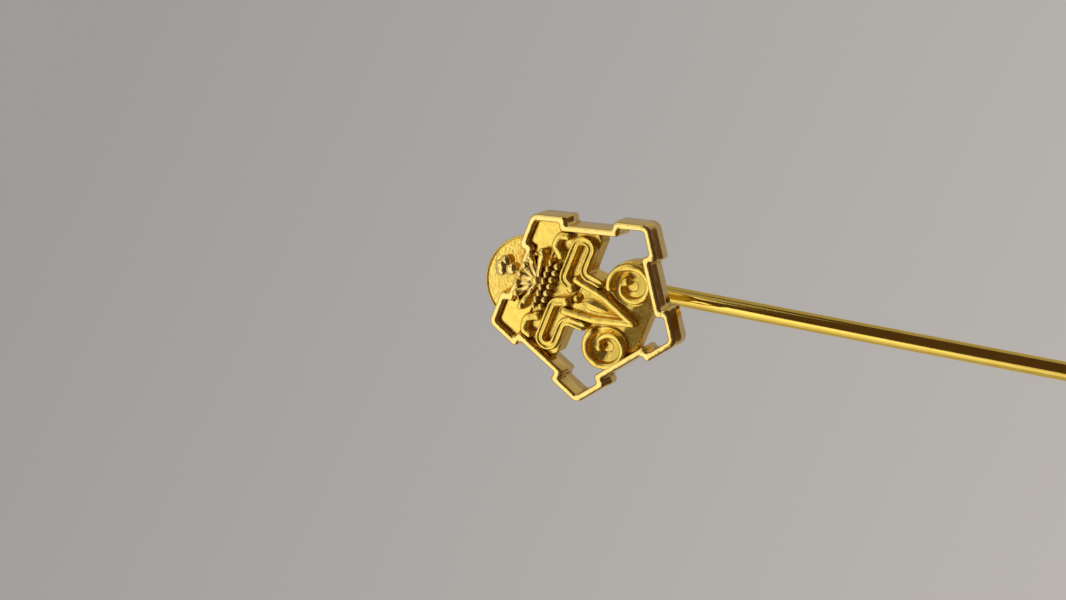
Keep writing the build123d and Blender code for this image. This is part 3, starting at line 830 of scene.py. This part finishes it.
def make_rope():
    """Slanting lays, one beside the other."""
    sculpt = Sculpt("crest_rope_twist")
    pitch = 2 * ROPE_HALF_LENGTH / ROPE_LAYS
    for k in range(ROPE_LAYS):
        x = -ROPE_HALF_LENGTH + pitch * (k + 0.5)
        sculpt.dome(x, ROPE_Y, 0.15, CREST_TOP - 0.02, GROUND, stretch=1.5, turn=radians(24), crown=0.6)
    piece = sculpt.build("pin", ["crest_rope"], CREST)
    fuse_soft(piece, CREST_VOXEL, 2, 0.5)
    ruffle(piece, CREST_RIPPLE_SIZE, 0.04, 24)


BEAD_Y = 2.4
BEAD_R = 0.21
BEAD_COUNT = 7
BEAD_PITCH = 0.46


def make_beads():
    """A row of grains, every second one smaller and lower."""
    sculpt = Sculpt("crest_beads_row")
    for k in range(BEAD_COUNT):
        x = (k - (BEAD_COUNT - 1) / 2) * BEAD_PITCH
        size = BEAD_R * (1 - 0.06 * (k % 2))
        sculpt.dome(x, BEAD_Y, size, CREST_TOP - 0.02 - 0.08 * (k % 2), GROUND, crown=0.5)
    piece = sculpt.build("pin", ["crest_beads"], CREST)
    ruffle(piece, CREST_RIPPLE_SIZE, 0.035, 27)


FINIAL_FOOT = HEAD_R * cos(HALF_CORNER) - NOTCH
NECK_TOP_Y = 5.5
NECK_WIDTH = 0.4
NECK_BACK = -1.36
RING_Y = 5.14
RING_BACK = -0.9
SIDE_LOBE_X = 0.34
SIDE_LOBE_Y = 5.68
SIDE_LOBE_LEAN = 34.0
TOP_LOBE_Y = 5.84
BUD_BACK = -1.0


def make_finial():
    """Neck, ring and a three-lobed bud, standing out past the border."""
    sculpt = Sculpt("crest_finial_bud")
    neck = spaced([Vector((0, FINIAL_FOOT + 0.1)), Vector((0, NECK_TOP_Y))], 0.06)
    sweep_ribbon(sculpt, neck, ROUND_RIDGE, NECK_WIDTH, top=0.05, ground=NECK_BACK)
    sculpt.dome(0, RING_Y, 0.4, 0.14, RING_BACK, crown=0.5)
    for side in (-1, 1):
        sculpt.dome(side * SIDE_LOBE_X, SIDE_LOBE_Y, 0.33, 0.22, BUD_BACK, stretch=1.1,
                    turn=radians(90 - SIDE_LOBE_LEAN * side), crown=0.6)
    sculpt.dome(0, TOP_LOBE_Y, 0.35, 0.29, BUD_BACK, crown=0.5)
    piece = sculpt.build("pin", ["crest_finial"], BORDER)
    fuse_soft(piece, CREST_VOXEL, 2, 0.6)
    ruffle(piece, 0.5, 0.02, 31)


# ---------------------------------------------------------------- pad and stem
PAD_LOW, PAD_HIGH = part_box("pad_disc")
PAD_CENTRE = (PAD_LOW + PAD_HIGH) / 2
PAD_R = (PAD_HIGH.x - PAD_LOW.x) / 2 / MM
PAD_T = (PAD_HIGH.y - PAD_LOW.y) / MM
PAD_RIM = 0.13
STEM_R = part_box("stem")[1].x / MM


def on_pad(x, z, out):
    """Millimetres across the pad and out of its front face, towards the head."""
    return Vector((PAD_CENTRE.x + x * MM, PAD_LOW.y - out * MM, PAD_CENTRE.z + z * MM))


PAD_AROUND = 288
PAD_FACE_RINGS = 56
PAD_FACE_DROP = 0.055   # the grained face lies this far behind the rim
COARSE_PITS = (4.2, 0.008)   # noise frequency and depth
FINE_PITS = (11.0, 0.012)


def pad_grain(x, z):
    coarse = noise.noise(Vector((x * COARSE_PITS[0], z * COARSE_PITS[0], 3.3)))
    fine = noise.noise(Vector((x * FINE_PITS[0], z * FINE_PITS[0], 7.1)))
    return COARSE_PITS[1] * coarse + FINE_PITS[1] * fine


def make_pad():
    """Disc with a plain polished rim and a pitted face, its grain cut into the mesh."""
    face_r = PAD_R - PAD_RIM
    rim = [(STEM_R, -PAD_T), (PAD_R - 0.08, -PAD_T), (PAD_R - 0.02, -PAD_T + 0.03),
           (PAD_R, -PAD_T + 0.1), (PAD_R, -0.1), (PAD_R - 0.015, -0.035),
           (PAD_R - 0.05, -0.005), (PAD_R - 0.09, -0.004), (face_r, -0.03)]
    face = [(face_r + (STEM_R - face_r) * k / PAD_FACE_RINGS, -PAD_FACE_DROP)
            for k in range(1, PAD_FACE_RINGS + 1)]
    rings = []
    for index, (radius, out) in enumerate(rim + face):
        ring = []
        for k in range(PAD_AROUND):
            angle = 2 * pi * k / PAD_AROUND
            x = radius * cos(angle)
            z = radius * sin(angle)
            lift = pad_grain(x, z) if index >= len(rim) else 0.0
            ring.append(on_pad(x, z, min(out + lift, -0.003)))
        rings.append(ring)
    sculpt = Sculpt("pad_disc_grained")
    sculpt.loop_grid(rings)
    sculpt.build("pin", ["pad_disc"], GRAIN)


STEM_TOP = Vector((0, PAD_LOW.y / MM, PAD_CENTRE.z / MM))
BEND_R = PAD_CENTRE.z / MM
STEM_FULL_Z = -47.0
STEM_SLIM_Z = -53.5
STEM_SLIM_R = 0.56
STEM_TIP_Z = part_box("stem")[0].z / MM
STEM_TIP_R = 0.08


STEM_AROUND = 72
STAKE_STEPS = 8
BEND_STEPS = 28
SHANK_STEPS = 71
SLIM_STEPS = 12
POINT_STEPS = 16
POINT_ROUNDING = 0.06   # the last stretch of the point, where it is blunted
BEND_FLATTENING = 0.012
DRAWING_MARKS = 0.004   # changes of the wire's radius along its length, as a share


def make_stem():
    """Drawn wire: staked in the pad, bent down, then straight to a ground point."""
    line = []
    for k in range(STAKE_STEPS):
        y = STEM_TOP.y + (-BEND_R - STEM_TOP.y) * k / STAKE_STEPS
        line.append((Vector((0, y, BEND_R)), Vector((0, 1, 0)), STEM_R))
    for k in range(BEND_STEPS + 1):
        a = pi / 2 * k / BEND_STEPS
        point = Vector((0, -BEND_R + BEND_R * sin(a), BEND_R * cos(a)))
        flatten = 1 - BEND_FLATTENING * sin(2 * a)
        line.append((point, Vector((0, cos(a), -sin(a))), STEM_R * flatten))

    down = Vector((0, 0, -1))

    def straight(z, radius):
        line.append((Vector((0, 0, z)), down, radius))

    for k in range(1, SHANK_STEPS + 1):
        z = STEM_FULL_Z * k / SHANK_STEPS
        straight(z, STEM_R * (1 - DRAWING_MARKS * abs(noise.noise(Vector((0, 0, z * 0.35))))))
    for k in range(1, SLIM_STEPS + 1):
        t = k / SLIM_STEPS
        straight(STEM_FULL_Z + (STEM_SLIM_Z - STEM_FULL_Z) * t, STEM_R + (STEM_SLIM_R - STEM_R) * t)
    for k in range(1, POINT_STEPS + 1):
        t = k / POINT_STEPS
        straight(STEM_SLIM_Z + (STEM_TIP_Z + POINT_ROUNDING - STEM_SLIM_Z) * t,
                 STEM_SLIM_R + (STEM_TIP_R - STEM_SLIM_R) * t)
    straight(STEM_TIP_Z + POINT_ROUNDING / 3, STEM_TIP_R * 0.7)
    straight(STEM_TIP_Z, STEM_TIP_R * 0.2)

    side = Vector((1, 0, 0))
    rings = []
    for point, tangent, radius in line:
        other = tangent.cross(side)
        ring = []
        for k in range(STEM_AROUND):
            a = 2 * pi * k / STEM_AROUND
            ring.append((point + (side * cos(a) + other * sin(a)) * radius) * MM)
        rings.append(ring)
    sculpt = Sculpt("stem_wire")
    sculpt.grid(rings)
    sculpt.build("pin", ["stem"], WIRE)


# ---------------------------------------------------------------- clutch
BARREL_AROUND = 96
EASE_STEPS = 4


def on_axis(radius, angle, z):
    return Vector((radius * cos(angle), radius * sin(angle), z)) * MM


def eased(corners):
    """An outline of (radius, height, ease) corners, each cut by a small curve."""
    out = []
    count = len(corners)
    for i, corner in enumerate(corners):
        here = Vector(corner[:2])
        back = Vector(corners[i - 1][:2]) - here
        ahead = Vector(corners[(i + 1) % count][:2]) - here
        size = min(corner[2], 0.45 * back.length, 0.45 * ahead.length)
        a = here + back.normalized() * size
        b = here + ahead.normalized() * size
        for k in range(EASE_STEPS + 1):
            t = k / EASE_STEPS
            point = a * (1 - t) ** 2 + here * 2 * t * (1 - t) + b * t ** 2
            out.append((point.x, point.y))
    return out


def make_barrel():
    """Turned shell with a groove near each end and a broad round shoulder at the top."""
    low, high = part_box("clutch_barrel")
    barrel_r, top, foot = high.x / MM, high.z / MM, low.z / MM
    ferrule_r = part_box("clutch_ferrule")[1].x / MM
    bore_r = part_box("clutch_end_cap")[1].x / MM
    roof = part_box("clutch_ferrule")[0].z / MM
    head_r = barrel_r - 0.05
    groove_r = head_r - 0.09
    foot_r = barrel_r - 0.03
    profile = eased([
        (ferrule_r, top, 0.03), (head_r, top, 0.5), (head_r, top - 1.0, 0.04),
        (groove_r, top - 1.08, 0.04), (groove_r, top - 1.22, 0.04), (barrel_r, top - 1.32, 0.05),
        (barrel_r, foot + 1.32, 0.05), (groove_r, foot + 1.22, 0.04), (groove_r, foot + 1.08, 0.04),
        (foot_r, foot + 1.0, 0.04), (foot_r, foot, 0.14), (bore_r, foot, 0.04), (bore_r, roof, 0.02),
        (ferrule_r, roof, 0.02)])
    sculpt = Sculpt("clutch_barrel_shell")
    sculpt.loop_grid([[on_axis(radius, 2 * pi * k / BARREL_AROUND, height) for k in range(BARREL_AROUND)]
                      for radius, height in profile])
    sculpt.build("clutch_body", ["clutch_barrel"], TURNED)


KNOB_AROUND = 240
KNURL_BANDS = 30
KNURL_TEETH = 30
KNURL_TURNS = 1.9       # half-waves of the crossing cuts, over the band's height
KNURL_DEPTH = 0.09
PLUNGER_R = 1.0
PLUNGER_BORE_R = 0.68
SOCKET_DEPTH = 1.2
BORE_DEPTH = 2.4
CORE_R = 0.02           # the outline stops just short of the axis


def make_knob():
    """Pull knob: turned, with a diamond-knurled band and a domed foot."""
    low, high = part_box("clutch_knob")
    radius, top, foot = high.x / MM, high.z / MM, low.z / MM
    groove_r = radius - 0.22
    collar_r = radius - 0.06
    foot_r = radius - 0.1
    knurl_low = foot + 0.95
    knurl_high = top - 0.55
    below = eased([
        (CORE_R, foot, 0.0), (radius * 0.55, foot + 0.01, 0.2), (foot_r, foot + 0.3, 0.35),
        (foot_r, foot + 0.7, 0.04), (groove_r, foot + 0.76, 0.03), (groove_r, foot + 0.86, 0.03),
        (radius, foot + 0.92, 0.05)])
    knurl = [(radius, knurl_low + (knurl_high - knurl_low) * k / KNURL_BANDS)
             for k in range(KNURL_BANDS + 1)]
    above = eased([
        (radius, top - 0.5, 0.05), (groove_r, top - 0.46, 0.03), (groove_r, top - 0.36, 0.03),
        (collar_r, top - 0.3, 0.04), (collar_r, top, 0.12), (PLUNGER_R, top, 0.05),
        (PLUNGER_R, top - SOCKET_DEPTH, 0.02), (PLUNGER_BORE_R, top - SOCKET_DEPTH, 0.02),
        (PLUNGER_BORE_R, top - BORE_DEPTH, 0.05), (CORE_R, top - BORE_DEPTH, 0.0)])
    rings = []
    for r, h in below + knurl + above:
        ring = []
        knurled = knurl_low < h < knurl_high and r > radius - 0.01
        for k in range(KNOB_AROUND):
            angle = 2 * pi * k / KNOB_AROUND
            cut = 0.0
            if knurled:
                slant = pi * (h - knurl_low) / (knurl_high - knurl_low) * KNURL_TURNS
                one = abs(sin(KNURL_TEETH / 2 * angle + slant))
                two = abs(sin(KNURL_TEETH / 2 * angle - slant))
                cut = KNURL_DEPTH * (1 - min(one, two)) ** 2
            ring.append(on_axis(r - cut, angle, h))
        rings.append(ring)
    sculpt = Sculpt("clutch_knob_knurled")
    sculpt.loop_grid(rings)
    sculpt.build("plunger", ["clutch_knob"], TURNED)


def dress(node, material):
    """A CAD piece whose shape is right gets its finish."""
    mesh = frame["nodes"][node].data
    if mesh.materials:
        mesh.materials[0] = material
    else:
        mesh.materials.append(material)


# ---------------------------------------------------------------- build
make_border()
core_ground = soften_copy(["core_plate"], "core_plate_ground", voxel_mm=0.06, rounds=3,
                          material=GROUNDS)
slope_ground(core_ground)
soften_copy(["crest_block", "field_left", "field_right"], "upper_ground", voxel_mm=0.035, rounds=2,
            material=FIELDS)
for side, hand in ((-1, "left"), (1, "right")):
    make_side_loop(side, hand)
    make_shoulder(side, hand)
    make_volute(side, hand)
make_lyre()
make_leaf()
make_boss()
make_palmette()
make_rope()
make_beads()
make_finial()
make_pad()
make_stem()
dress("pad_solder", SOLDER)
dress("stem_solder", SOLDER)
make_barrel()
make_knob()
for node in ("clutch_ferrule", "clutch_end_cap", "clutch_plunger"):
    dress(node, TURNED)
for node in ("clutch_cone_ring", "clutch_washer", "clutch_spring"):
    dress(node, SPRING)
for node in ("clutch_ball_1", "clutch_ball_2", "clutch_ball_3"):
    dress(node, BALLS)


# ---------------------------------------------------------------- camera
# The camera looks a little upwards and from the right, rolled so that the stem points
# across the picture; the distance is in millimetres, as is the lens.
VIEW_AZIMUTH = radians(9.93)
VIEW_ELEVATION = radians(-16.16)
VIEW_ROLL = radians(78.86)
VIEW_DISTANCE = 146.5
AIM = Vector((-1.97, -0.61, 3.9)) * MM
LENS = 74.3

away = Vector((sin(VIEW_AZIMUTH) * cos(VIEW_ELEVATION), -cos(VIEW_AZIMUTH) * cos(VIEW_ELEVATION),
               sin(VIEW_ELEVATION)))
look = -away
level_right = look.cross(Vector((0, 0, 1))).normalized()
level_up = level_right.cross(look)
cam_up = level_up * cos(VIEW_ROLL) + level_right * sin(VIEW_ROLL)
cam_right = look.cross(cam_up)
camera_data = bpy.data.cameras.new("camera")
camera_data.lens = LENS
camera_data.sensor_width = 36.0
camera_data.clip_start = 0.005
camera_data.clip_end = 20.0
camera = add_object("camera", camera_data)
camera.matrix_world = Matrix((cam_right, cam_up, away)).transposed().to_4x4()
camera.location = AIM + away * VIEW_DISTANCE * MM
bpy.context.scene.camera = camera


# ---------------------------------------------------------------- light and floor
DAYLIGHT = (1.0, 0.99, 0.96)


def seen(x, y, z):
    """A direction given in the picture: right, up and towards the camera."""
    return cam_right * x + cam_up * y + away * z


def softbox(name, centre, width, height, radiance, facing=None):
    """A lit rectangle parallel to the picture, or turned to face a direction; metres and W/m2/sr."""
    out = (facing or away).normalized()
    rise = (cam_up - out * cam_up.dot(out)).normalized()
    across = rise.cross(out)
    light = bpy.data.lights.new(name, "AREA")
    light.shape = "RECTANGLE"
    light.size = width
    light.size_y = height
    light.energy = radiance * pi * width * height
    light.color = DAYLIGHT
    lamp = add_object(name, light)
    turn = Matrix((across, rise, out)).transposed()
    lamp.matrix_world = Matrix.Translation(AIM + centre) @ turn.to_4x4()


def hidden_card(name, corners):
    """A dark card that the metal mirrors and the camera doesn't see."""
    mesh = bpy.data.meshes.new(name)
    mesh.from_pydata(corners, [], [range(len(corners))])
    mesh.materials.append(CARD)
    card = add_object(name, mesh)
    card.visible_camera = False
    card.visible_shadow = False
    card.visible_diffuse = False


def flag(name, corners):
    """A card whose corners are given in the picture's directions, in metres from the head."""
    hidden_card(name, [AIM + seen(*corner) for corner in corners])


FRONT = 0.5             # distance of the lights and cards before the head, metres
softbox("key_box", seen(-0.535, -0.31, FRONT), width=0.5, height=0.62, radiance=0.6)
softbox("low_box", seen(-0.38, -0.55, 0.18), width=0.5, height=0.55, radiance=0.28,
        facing=seen(0, -1, 0.02))
softbox("window_box", seen(-0.34, 0.42, FRONT), width=0.26, height=0.3, radiance=0.65)
flag("front_card", [(-0.24, -0.3, FRONT), (-0.265, -0.2, FRONT), (-0.285, -0.05, FRONT),
                    (-0.24, 0.175, FRONT), (-0.2, 0.27, FRONT), (-0.2, 0.5, FRONT), (-0.1, 0.9, FRONT),
                    (0.8, 0.9, FRONT), (0.8, -0.3, FRONT)])
flag("top_card", [(-0.1, 0.9, FRONT), (-0.05, 0.9, 0.04), (0.8, 0.9, 0.04), (0.8, 0.9, FRONT)])
SIDE = 0.35
flag("side_card", [(SIDE, -0.5, -0.4), (SIDE, 0.3, -0.4), (SIDE, 0.5, 0.5), (SIDE, -0.5, 0.5)])

ROOM_DARK = (0.345, 0.33, 0.328, 1)
ROOM_LIGHT = (0.49, 0.462, 0.428, 1)
LIGHT_SIDE = seen(0.9, -0.42, 0)
GLOW_SIDE = seen(-0.75, -0.12, 0.65)
GLOW = 0.38


def make_world():
    """A pale room, lighter towards one side, with a broad soft glow near the camera."""
    world = bpy.data.worlds.new("studio")
    bpy.context.scene.world = world
    world.use_nodes = True
    tree = world.node_tree
    link = tree.links.new
    background = tree.nodes["Background"]
    background.inputs["Strength"].default_value = 1.0
    direction = tree.nodes.new("ShaderNodeTexCoord").outputs["Generated"]

    def towards(side):
        node = tree.nodes.new("ShaderNodeVectorMath")
        node.operation = "DOT_PRODUCT"
        node.inputs[1].default_value = side
        link(direction, node.inputs[0])
        return node.outputs["Value"]

    shift = tree.nodes.new("ShaderNodeMath")
    shift.operation = "MULTIPLY_ADD"
    shift.inputs[1].default_value = 2.0
    shift.inputs[2].default_value = 0.45
    link(towards(LIGHT_SIDE), shift.inputs[0])
    ramp = tree.nodes.new("ShaderNodeValToRGB")
    ramp.color_ramp.elements[0].color = ROOM_DARK
    ramp.color_ramp.elements[1].color = ROOM_LIGHT
    link(shift.outputs[0], ramp.inputs["Fac"])

    glow = tree.nodes.new("ShaderNodeMapRange")
    glow.interpolation_type = "SMOOTHSTEP"
    glow.inputs["From Min"].default_value = 0.35
    glow.inputs["From Max"].default_value = 0.85
    glow.inputs["To Max"].default_value = GLOW
    link(towards(GLOW_SIDE), glow.inputs["Value"])

    room = tree.nodes.new("ShaderNodeVectorMath")
    room.operation = "ADD"
    link(ramp.outputs["Color"], room.inputs[0])
    link(glow.outputs["Result"], room.inputs[1])
    link(room.outputs["Vector"], background.inputs["Color"])


make_world()

# The floor lies below the clutch's lowest place, so that it shows in every pose.
FLOOR_HALF = 0.8
MAT_HALF = 0.4
MAT_BACK_Y = 0.225
MAT_LIFT = 0.0005


def level_sheet(half, back_y, z):
    """Corners of a level rectangle, its front edge as far off as its sides; metres."""
    return [(-half, -half, z), (half, -half, z), (half, back_y, z), (-half, back_y, z)]


slide = next(joint for joint in frame["joints"] if joint["name"] == "clutch_slide")
floor_z = cad_bounds[0].z - slide["range_m"][1]
floor_mesh = bpy.data.meshes.new("floor")
floor_mesh.from_pydata(level_sheet(FLOOR_HALF, FLOOR_HALF, floor_z), [], [(0, 1, 2, 3)])
floor_mesh.materials.append(PAPER)
add_object("floor", floor_mesh)
hidden_card("mat_card", level_sheet(MAT_HALF, MAT_BACK_Y, floor_z + MAT_LIFT))

bpy.context.scene.view_settings.view_transform = "Standard"
